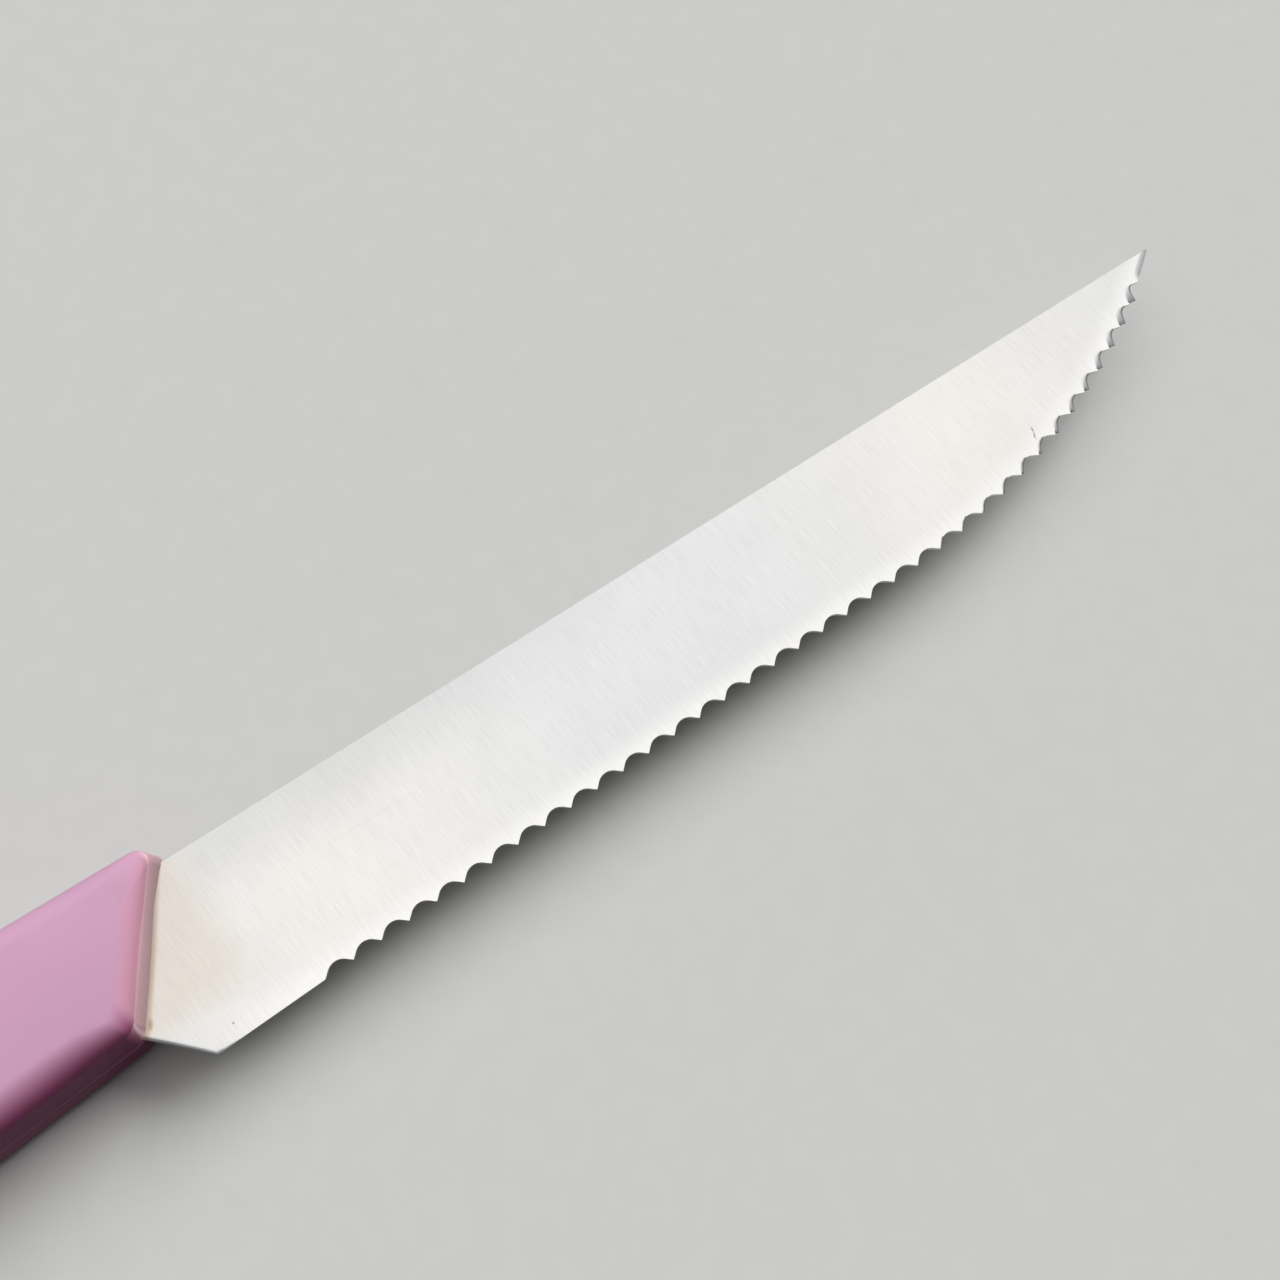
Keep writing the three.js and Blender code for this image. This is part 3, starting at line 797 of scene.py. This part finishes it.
def blade_mesh(blade):
    """Mesh of the blade with its tang, as two faces of upright columns and the walls between them."""
    edge = EdgeLine(blade)
    cuts = gullets(blade, edge)
    lower, upper = blade_sides(blade, edge, cuts)
    faces = BladeFaces(blade, edge, cuts)
    mesh = bmesh.new()
    layers = [mesh.verts.layers.float.new(name) for name in STEEL_TONES]
    right = []
    left = []
    for column in blade_columns(blade, edge, cuts, lower, upper):
        places = [Vector((column.x, y)) for y in column_heights(column.low, column.high)]
        for side, height in ((right, faces.right), (left, faces.left)):
            side.append([mesh.verts.new(ORIGIN + Vector((*p, height(p, column)))) for p in places])
        for place, *vertices in zip(places, right[-1], left[-1]):
            for layer, tone in zip(layers, faces.tones(place, column)):
                for vertex in vertices:
                    vertex[layer] = tone
    for i in range(len(right) - 1):
        a, b, c, d = right[i], right[i + 1], left[i], left[i + 1]
        for j in range(len(a) - 1):
            mesh.faces.new((a[j], b[j], b[j + 1], a[j + 1]))
            mesh.faces.new((c[j], c[j + 1], d[j + 1], d[j]))
        mesh.faces.new((c[0], d[0], b[0], a[0]))
        mesh.faces.new((a[-1], b[-1], d[-1], c[-1]))
    for over, under in ((right[0], left[0]), (left[-1], right[-1])):
        for j in range(len(over) - 1):
            mesh.faces.new((under[j], over[j], over[j + 1], under[j + 1]))
    return mesh


def corner(x, y, radius, steps=6, steady=False):
    """Corner of an outline, with its rounding and its steps. An inset leaves a steady one as it is."""
    return SimpleNamespace(place=Vector((x, y)), radius=radius, steps=steps, steady=steady)


def rounded_outline(corners, insets, sharp):
    """Places round a counter-clockwise outline with rounded corners, each edge moved inwards by its inset.

    A few places on each straight run keep the shading of its ends off its middle. Each place has its course:
    the number of corners passed, with the share of the turn round the corner that it lies on.
    """
    count = len(corners)
    edges = []
    for i, start in enumerate(corners):
        run = corners[(i + 1) % count].place - start.place
        along = run.normalized()
        inward = Vector((-along.y, along.x))
        edges.append(SimpleNamespace(along=along, inward=inward, start=start.place + inward * insets[i],
                                     parts=max(3, round(run.length / RUN_STEP))))
    arcs = []
    for i, point in enumerate(corners):
        before, after = edges[i - 1], edges[i]
        sine = before.along.cross(after.along)
        turn = math.atan2(sine, before.along.dot(after.along))
        side = math.copysign(1, turn)
        meeting = before.start + before.along * ((after.start - before.start).cross(after.along) / sine)
        radius = point.radius
        if not point.steady:
            radius = max(radius - side * (insets[i - 1] + insets[i]) / 2, sharp)
        tangent = meeting - before.along * radius * math.tan(abs(turn) / 2)
        centre = tangent + before.inward * side * radius
        first = math.atan2(tangent.y - centre.y, tangent.x - centre.x)
        arcs.append(arc(centre, radius, first, first + turn, point.steps))
    places = []
    for i, edge in enumerate(edges):
        steps = corners[i].steps
        places += [SimpleNamespace(place=p, course=i + k / steps) for k, p in enumerate(arcs[i])]
        start, end = arcs[i][-1], arcs[(i + 1) % count][0]
        margin = min(LARGEST_MARGIN, RUN_MARGIN / (end - start).length)
        shares = [margin + (1 - 2 * margin) * k / edge.parts for k in range(edge.parts + 1)]
        places += [SimpleNamespace(place=start.lerp(end, share), course=i + 1) for share in shares]
    return places


def handle_corners(handle, side, growth):
    """Side view of a half, counter-clockwise from the top front corner, so that its last edge is the front.

    The growth goes from 0 at the lip to 1 at the cheek.
    """
    top_radius = handle.front_top_radius + handle.corner_growth * growth
    low_radius = handle.front_low_radius if side > 0 else handle.far_low_radius
    slant = math.tan(handle.front_slant)
    rise = math.tan(handle.top_slope)
    top_front = handle.top_rise * slant / (1 + slant * rise)
    low_front = -handle.front_drop * slant
    bend = -handle.front_drop - (handle.belly_setback + low_front) * math.tan(handle.underside_slope)
    butt_low = bend - (handle.length - handle.belly_setback) * math.tan(handle.rear_slope)
    butt_height = handle.top_rise + handle.length * rise - butt_low
    butt_top = butt_height * math.tan(handle.butt_slant) - handle.length
    return [
        corner(top_front, handle.top_rise - top_front * rise, top_radius, steps=16, steady=True),
        corner(butt_top, handle.top_rise - butt_top * rise, handle.butt_top_radius, steps=16),
        corner(-handle.length, butt_low, handle.butt_low_radius, steps=16),
        corner(-handle.belly_setback, bend, handle.belly_radius, steps=10),
        corner(low_front, -handle.front_drop, low_radius, steps=20, steady=True),
    ]


def wall_inset(handle, height, radius):
    """How far a side has drawn in at a height above the seam, by its draft and its rounding to the cheek."""
    start = handle.half_thickness - radius
    inset = min(height, start) * math.tan(handle.draft)
    if height > start:
        inset += radius - math.sqrt(max(0.0, radius ** 2 - (height - start) ** 2))
    return inset


def wall_tilt(handle, height, radius):
    """How far a side faces outwards at a height above the seam: 1 on its wall, 0 on the cheek."""
    climb = (height - handle.half_thickness + radius) / radius
    return math.sqrt(1 - min(1.0, max(0.0, climb)) ** 2)


def handle_levels(handle):
    """Levels of one half from the seam to the cheek, each with the insets and the tilt of its edges."""
    half = handle.half_thickness
    lip_top = half - handle.front_radius
    closest = 0.008 * MM
    cheek_edge = 0.5 * MM
    wall_steps, slope_steps, turn_steps = 12, 8, 10
    radii = (handle.cheek_radius, handle.low_radius, handle.front_radius)
    heights = {0, handle.seam_width, handle.seam_width + handle.seam_bead, half}
    heights.update(lip_top * i / wall_steps for i in range(wall_steps))
    heights.update(lip_top + handle.lip_slope * i / slope_steps for i in range(-slope_steps, slope_steps + 1))
    turns = [math.pi / 2 * i / turn_steps for i in range(turn_steps)]
    for radius in radii:
        heights.add(half - radius - RUN_MARGIN)
        heights.update(half - radius * (1 - math.sin(turn)) for turn in turns)
    levels = []
    for height in sorted(heights):
        if levels and height - levels[-1].height < closest and height < half:
            continue
        bead = handle.seam_bead if height > handle.seam_width else 0
        top, low, front = [wall_inset(handle, height, radius) for radius in radii]
        levels.append(SimpleNamespace(
            height=height,
            insets=[top + bead, top + bead, low + bead, low + bead, front],
            low_spare=low - front,
            low_tilt=wall_tilt(handle, height, handle.low_radius),
            front_tilt=wall_tilt(handle, height, handle.front_radius),
            growth=max(0.0, (height - lip_top) / handle.front_radius),
            inside=max(0.0, 1 - height / lip_top),
            sunk=smooth_step((lip_top - height) / handle.lip_slope),
        ))
    flat = levels[-1]
    for extra in (RUN_MARGIN, cheek_edge):
        levels.append(SimpleNamespace(**{**vars(flat), "insets": [inset + extra for inset in flat.insets]}))
    return levels


def front_turns(course, corner_count):
    """How far a place lies round the upper and the lower front corner, from its course round the handle.

    A turn is 0 on the front and 1 past the corner.
    """
    low_front = corner_count - 1
    top_turn = min(1.0, course) if course < low_front else 0.0
    low_turn = min(1.0, corner_count - course) if course > 1 else 0.0
    return top_turn, low_turn


def side_points(handle, side, level):
    """Points round one level of a half, each with its run along the outline and its turns at the front.

    Each also says how far up the front it lies, and how much the lower rounding has narrowed there.
    """
    up_front = Vector((math.sin(handle.front_slant), math.cos(handle.front_slant)))
    corners = handle_corners(handle, side, level.growth)
    points = rounded_outline(corners, level.insets, handle.sharp_radius)
    for i, point in enumerate(points):
        point.run = (points[(i + 1) % len(points)].place - points[i - 1].place).normalized()
        point.top_turn, point.low_turn = front_turns(point.course, len(corners))
        point.up = point.place.dot(up_front)
        behind = corners[-1].place.x - point.place.x
        point.narrowed = smooth_step(point.low_turn) * smooth_step(1 - behind / handle.low_taper)
    return points


def finished_place(handle, level, point):
    """Place of a side point, sunk on the dished front and let out where the lower rounding narrows."""
    facing = Vector((math.cos(handle.front_slant), -math.sin(handle.front_slant)))
    low_facing = Vector((math.sin(handle.underside_slope), -math.cos(handle.underside_slope)))
    dish = handle.front_dish + handle.top_dish * smooth_step(1 + point.up / handle.dish_reach)
    sunk = level.sunk * (1 - point.low_turn) * ramp(point.place.y, DISH_TOP)
    place = point.place - facing * (handle.recess + dish * level.inside) * sunk
    return place + low_facing * level.low_spare * point.narrowed


def lip_highlight(handle, level, point, place):
    """Share of the painted highlight along the lip: a little uneven, fading at the top, bending to the seam
    below.
    """
    lip_top = handle.half_thickness - handle.front_radius
    turned = math.hypot(2 * point.low_turn, (level.height + handle.lip_drop) / lip_top)
    bend = LIP_BEND + (lip_top - LIP_BEND) * min(1.0, level.height / lip_top)
    width = handle.lip_width * (1 + LIP_UNEVEN * math.sin(place.y / LIP_WAVE))
    line = smooth_step(1 - abs(turned - 1) * bend / width) * ramp(point.top_turn, LIP_TURN)
    # A painted highlight spot where the lip meets the lower front corner
    along = (point.low_turn - 0.5) * GLINT_CORNER
    flash = smooth_step(1 - math.hypot(along, level.height) / GLINT_SIZE)
    return max(line, GLINT_STRENGTH * flash)


def plastic_tones(handle, level, point, place):
    """Share of each of the plastic's tones at a side point, in the order of their names."""
    top_turn, low_turn = point.top_turn, point.low_turn
    on_front = (1 - top_turn) * (1 - low_turn)
    # Painted shade, tinted pinker, on the rounded front
    fall = PINK_FALL + (PINK_TOP_FALL - PINK_FALL) * smooth_step(1 + point.up / PINK_TOP_REACH)
    pink = ramp(top_turn, PINK_TURN) * (1 - low_turn) * level.front_tilt ** fall
    # Painted shade on the upper front corner
    corner_shade = math.sqrt(level.front_tilt) * top_turn * (1 - top_turn)
    # Painted shade on the underside
    low_tilt = level.low_tilt + (level.front_tilt - level.low_tilt) * point.narrowed / 2
    underside = low_tilt * ramp(point.run.x, UNDERSIDE_RUN) * ramp(low_turn, UNDERSIDE_TURN)
    # Dust, with painted shade deepening towards the joint
    dust_and_shade = on_front * level.sunk * level.inside ** DUST_AND_SHADE_FALL
    # Painted highlights along the seam and on the strip by the lip
    seam = SEAM_STRENGTH * ramp(point.run.x, SEAM_RUN) if level.height <= handle.seam_width else 0.0
    strip_highlight = STRIP_HIGHLIGHT_STRENGTH * on_front * level.sunk * (1 - level.inside) ** 2
    return (
        pink,
        max(CORNER_SHADE_DEEP * corner_shade, underside),
        max(CORNER_SHADE_DUST * corner_shade, dust_and_shade),
        max(seam, strip_highlight, lip_highlight(handle, level, point, place)),
    )


def handle_half_mesh(handle, side):
    """Mesh of one half of the handle, above the seam for side 1 and below it for side -1."""
    mesh = bmesh.new()
    layers = [mesh.verts.layers.float.new(name) for name in PLASTIC_TONES]
    rings = []
    for level in handle_levels(handle):
        ring = []
        for point in side_points(handle, side, level):
            place = finished_place(handle, level, point)
            vertex = mesh.verts.new(ORIGIN + Vector((*place, side * level.height)))
            for layer, tone in zip(layers, plastic_tones(handle, level, point, place)):
                vertex[layer] = tone
            ring.append(vertex)
        rings.append(ring)
    for low, high in zip(rings, rings[1:]):
        for i in range(len(low)):
            j = (i + 1) % len(low)
            mesh.faces.new((low[i], low[j], high[j], high[i]))
    mesh.faces.new(rings[-1])
    mesh.faces.new(reversed(rings[0]))
    if side < 0:
        bmesh.ops.reverse_faces(mesh, faces=mesh.faces)
    return mesh


def prism(points, low, high):
    """Mesh of an upright prism over a counter-clockwise outline, drawn about the spine's start."""
    mesh = bmesh.new()
    bottom = [mesh.verts.new(ORIGIN + Vector((*p, low))) for p in points]
    top = [mesh.verts.new(ORIGIN + Vector((*p, high))) for p in points]
    mesh.faces.new(reversed(bottom))
    mesh.faces.new(top)
    for i in range(len(points)):
        j = (i + 1) % len(points)
        mesh.faces.new((bottom[i], bottom[j], top[j], top[i]))
    return mesh


def pin_hole(node, gap):
    """Mesh of the hole round one pin, with a gap on all sides."""
    low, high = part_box(node)
    middle = (low + high) / 2 - ORIGIN
    radius = (high.y - low.y) / 2 + gap
    circle = arc(middle.to_2d(), radius, 0, 2 * math.pi, 48)[:-1]
    return prism(circle, middle.z - (high.z - low.z) / 2 - gap, middle.z + (high.z - low.z) / 2 + gap)


def blade_pocket(blade, handle):
    """Mesh of the pocket for the blade's root and tang, with a gap on all sides."""
    top = -blade.tang_drop
    low = top - blade.tang_width
    heel = Vector((-blade.heel_setback, -blade.heel_depth))
    root = heel.x - (blade.heel_depth + low) / math.tan(blade.heel_angle)
    clear = blade.heel_depth
    corners = [
        corner(clear, 0, handle.sharp_radius),
        corner(-blade.shoulder_setback, 0, handle.sharp_radius),
        corner(-blade.shoulder_setback - blade.tang_drop, top, handle.sharp_radius),
        corner(-TANG_LENGTH, top, blade.tang_radius, steps=12),
        corner(-TANG_LENGTH, low, blade.tang_radius, steps=12),
        corner(root, low, handle.sharp_radius),
        corner(heel.x, heel.y, handle.sharp_radius),
        corner(clear, heel.y, handle.sharp_radius),
    ]
    outline = rounded_outline(corners, [-handle.blade_gap] * len(corners), handle.sharp_radius)
    depth = blade.thickness / 2 + handle.blade_gap
    return prism([point.place for point in outline], -depth, depth)


def new_object(name, shape):
    """New object with a finished bmesh as its mesh."""
    data = bpy.data.meshes.new(name)
    shape.to_mesh(data)
    shape.free()
    made = bpy.data.objects.new(name, data)
    bpy.context.scene.collection.objects.link(made)
    return made


def carve(piece, shape):
    """Cuts a shape out of a piece, and keeps only the cut mesh."""
    cutter = new_object("cutter", shape)
    cut = piece.modifiers.new("cut", "BOOLEAN")
    cut.operation = "DIFFERENCE"
    cut.solver = "EXACT"
    cut.object = cutter
    whole = piece.data
    piece.data = bpy.data.meshes.new_from_object(piece.evaluated_get(bpy.context.evaluated_depsgraph_get()))
    piece.modifiers.clear()
    bpy.data.meshes.remove(whole)
    bpy.data.meshes.remove(cutter.data)
    if not piece.data.polygons:
        raise RuntimeError(f"nothing is left of {piece.name} after a cut")


def finish_piece(piece, material, node):
    """Shades a piece, gives it its material, and puts it in the place of its node."""
    piece.data.shade_smooth()
    piece.data.set_sharp_from_angle(angle=CREASE)
    piece.data.materials.clear()
    piece.data.materials.append(material)
    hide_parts(node)
    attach(piece, "root")


class STEAKKNIFE_OT_blade(bpy.types.Operator):
    """Builds the serrated blade with its tang"""

    bl_idname = "steakknife.blade"
    bl_label = "Blade"

    def execute(self, context):
        blade = context.scene.knife_blade
        handle = context.scene.knife_handle
        piece = new_object("blade_finished", blade_mesh(blade))
        for node in PIN_NODES:
            carve(piece, pin_hole(node, handle.pin_gap))
        finish_piece(piece, ground_stainless_steel(blade, handle), "blade")
        return {"FINISHED"}


class STEAKKNIFE_OT_handle(bpy.types.Operator):
    """Builds the two moulded halves of the handle"""

    bl_idname = "steakknife.handle"
    bl_label = "Handle halves"

    def execute(self, context):
        blade = context.scene.knife_blade
        handle = context.scene.knife_handle
        plastic = moulded_plastic(handle)
        for side, name in ((1, "handle_right_half"), (-1, "handle_left_half")):
            piece = new_object(name.replace("half", "finished"), handle_half_mesh(handle, side))
            carve(piece, blade_pocket(blade, handle))
            for node in PIN_NODES:
                carve(piece, pin_hole(node, handle.pin_gap))
            finish_piece(piece, plastic, name)
            piece.visible_glossy = False
        return {"FINISHED"}


class STEAKKNIFE_OT_pins(bpy.types.Operator):
    """Gives the hidden cross pins their steel"""

    bl_idname = "steakknife.pins"
    bl_label = "Cross pins"

    def execute(self, context):
        steel = drawn_pin_steel()
        for name in PIN_NODES:
            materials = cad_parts[name].data.materials
            materials.clear()
            materials.append(steel)
        return {"FINISHED"}


class STEAKKNIFE_OT_stage(bpy.types.Operator):
    """Sets up the floor, the soft light and the camera"""

    bl_idname = "steakknife.stage"
    bl_label = "Stage"

    def execute(self, context):
        stage = context.scene.knife_stage
        self.lay_floor(stage)
        self.hang_lamps(context.scene, stage)
        self.fill_room(context.scene, stage)
        self.place_camera(context.scene, stage)
        context.scene.view_settings.view_transform = "Standard"
        return {"FINISHED"}

    def lay_floor(self, stage):
        """Lays the floor under the lower cheek."""
        shape = bmesh.new()
        bmesh.ops.create_grid(shape, x_segments=8, y_segments=8, size=FLOOR_REACH)
        floor = new_object("floor", shape)
        floor.location.z = -FLOOR_GAP
        floor.data.materials.append(floor_board(stage))

    def hang_lamps(self, scene, stage):
        """Hangs a large soft box over the knife, and a far fill lamp that gloss doesn't show."""
        soft_box = bpy.data.lights.new("soft_box", "AREA")
        soft_box.shape = "RECTANGLE"
        soft_box.size, soft_box.size_y = SOFT_BOX_SIZE
        soft_box.energy = stage.soft_box_power
        fill = bpy.data.lights.new("fill", "SUN")
        fill.angle = stage.fill_spread
        fill.energy = stage.fill_strength
        self.hang_lamp(scene, soft_box)
        far_fill = self.hang_lamp(scene, fill)
        far_fill.rotation_euler = Vector(FILL_SIDE).to_track_quat("Z", "Y").to_euler()
        far_fill.visible_glossy = False

    def hang_lamp(self, scene, lamp):
        """Hangs one lamp in the soft box's place, out of the camera's sight."""
        made = bpy.data.objects.new(lamp.name, lamp)
        made.location = SOFT_BOX_PLACE
        made.visible_camera = False
        scene.collection.objects.link(made)
        return made

    def fill_room(self, scene, stage):
        """Makes the room pale to the eye and to gloss, and dim to matte surfaces."""
        world = bpy.data.worlds.new("studio_room")
        world.use_nodes = True
        scene.world = world
        tree = world.node_tree
        tree.nodes.clear()
        strength = add_node(tree, "ShaderNodeMix", {"data_type": "FLOAT"}, {
            "Factor": seen_directly(tree),
            "A": stage.room_dim,
            "B": stage.room,
        })
        room = add_node(tree, "ShaderNodeBackground", inputs={
            "Color": opaque(linear("#FAFAFA")),
            "Strength": strength,
        })
        add_node(tree, "ShaderNodeOutputWorld", inputs={"Surface": room})

    def place_camera(self, scene, stage):
        """Places the camera at the photograph's viewing angle."""
        camera = bpy.data.cameras.new("camera")
        camera.lens = stage.lens
        camera.sensor_width = 36
        camera.clip_start = 5 * MM
        made = bpy.data.objects.new("camera", camera)
        place = ORIGIN + Vector(stage.camera_place)
        forward = (ORIGIN + Vector(stage.camera_aim) - place).normalized()
        right = forward.cross(Vector((0, 1, 0))).normalized()
        right.rotate(Matrix.Rotation(stage.camera_roll, 3, forward))
        turn = Matrix((right, right.cross(forward), -forward)).transposed()
        made.matrix_world = Matrix.LocRotScale(place, turn.to_quaternion(), None)
        scene.collection.objects.link(made)
        scene.camera = made


class STEAKKNIFE_PT_pieces(bpy.types.Panel):
    """Lists the operators and the settings of the knife"""

    bl_idname = "STEAKKNIFE_PT_pieces"
    bl_label = "Steak knife"
    bl_space_type = "VIEW_3D"
    bl_region_type = "UI"
    bl_category = "Steak knife"

    def draw(self, context):
        for operator in OPERATORS:
            self.layout.operator(operator.bl_idname)
        for name, group in SETTINGS.items():
            box = self.layout.box()
            for field in group.__annotations__:
                box.prop(getattr(context.scene, name), field)


SETTINGS = {
    "knife_blade": KnifeBladeSettings,
    "knife_handle": KnifeHandleSettings,
    "knife_stage": KnifeStageSettings,
}
OPERATORS = (STEAKKNIFE_OT_blade, STEAKKNIFE_OT_handle, STEAKKNIFE_OT_pins, STEAKKNIFE_OT_stage)
CLASSES = (*SETTINGS.values(), *OPERATORS, STEAKKNIFE_PT_pieces)


def register():
    for cls in CLASSES:
        bpy.utils.register_class(cls)
    for name, group in SETTINGS.items():
        setattr(bpy.types.Scene, name, PointerProperty(type=group))


def unregister():
    for name in SETTINGS:
        delattr(bpy.types.Scene, name)
    for cls in reversed(CLASSES):
        bpy.utils.unregister_class(cls)


def main():
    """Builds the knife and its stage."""
    register()
    bpy.ops.steakknife.blade()
    bpy.ops.steakknife.handle()
    bpy.ops.steakknife.pins()
    bpy.ops.steakknife.stage()


if __name__ == "__main__":
    main()
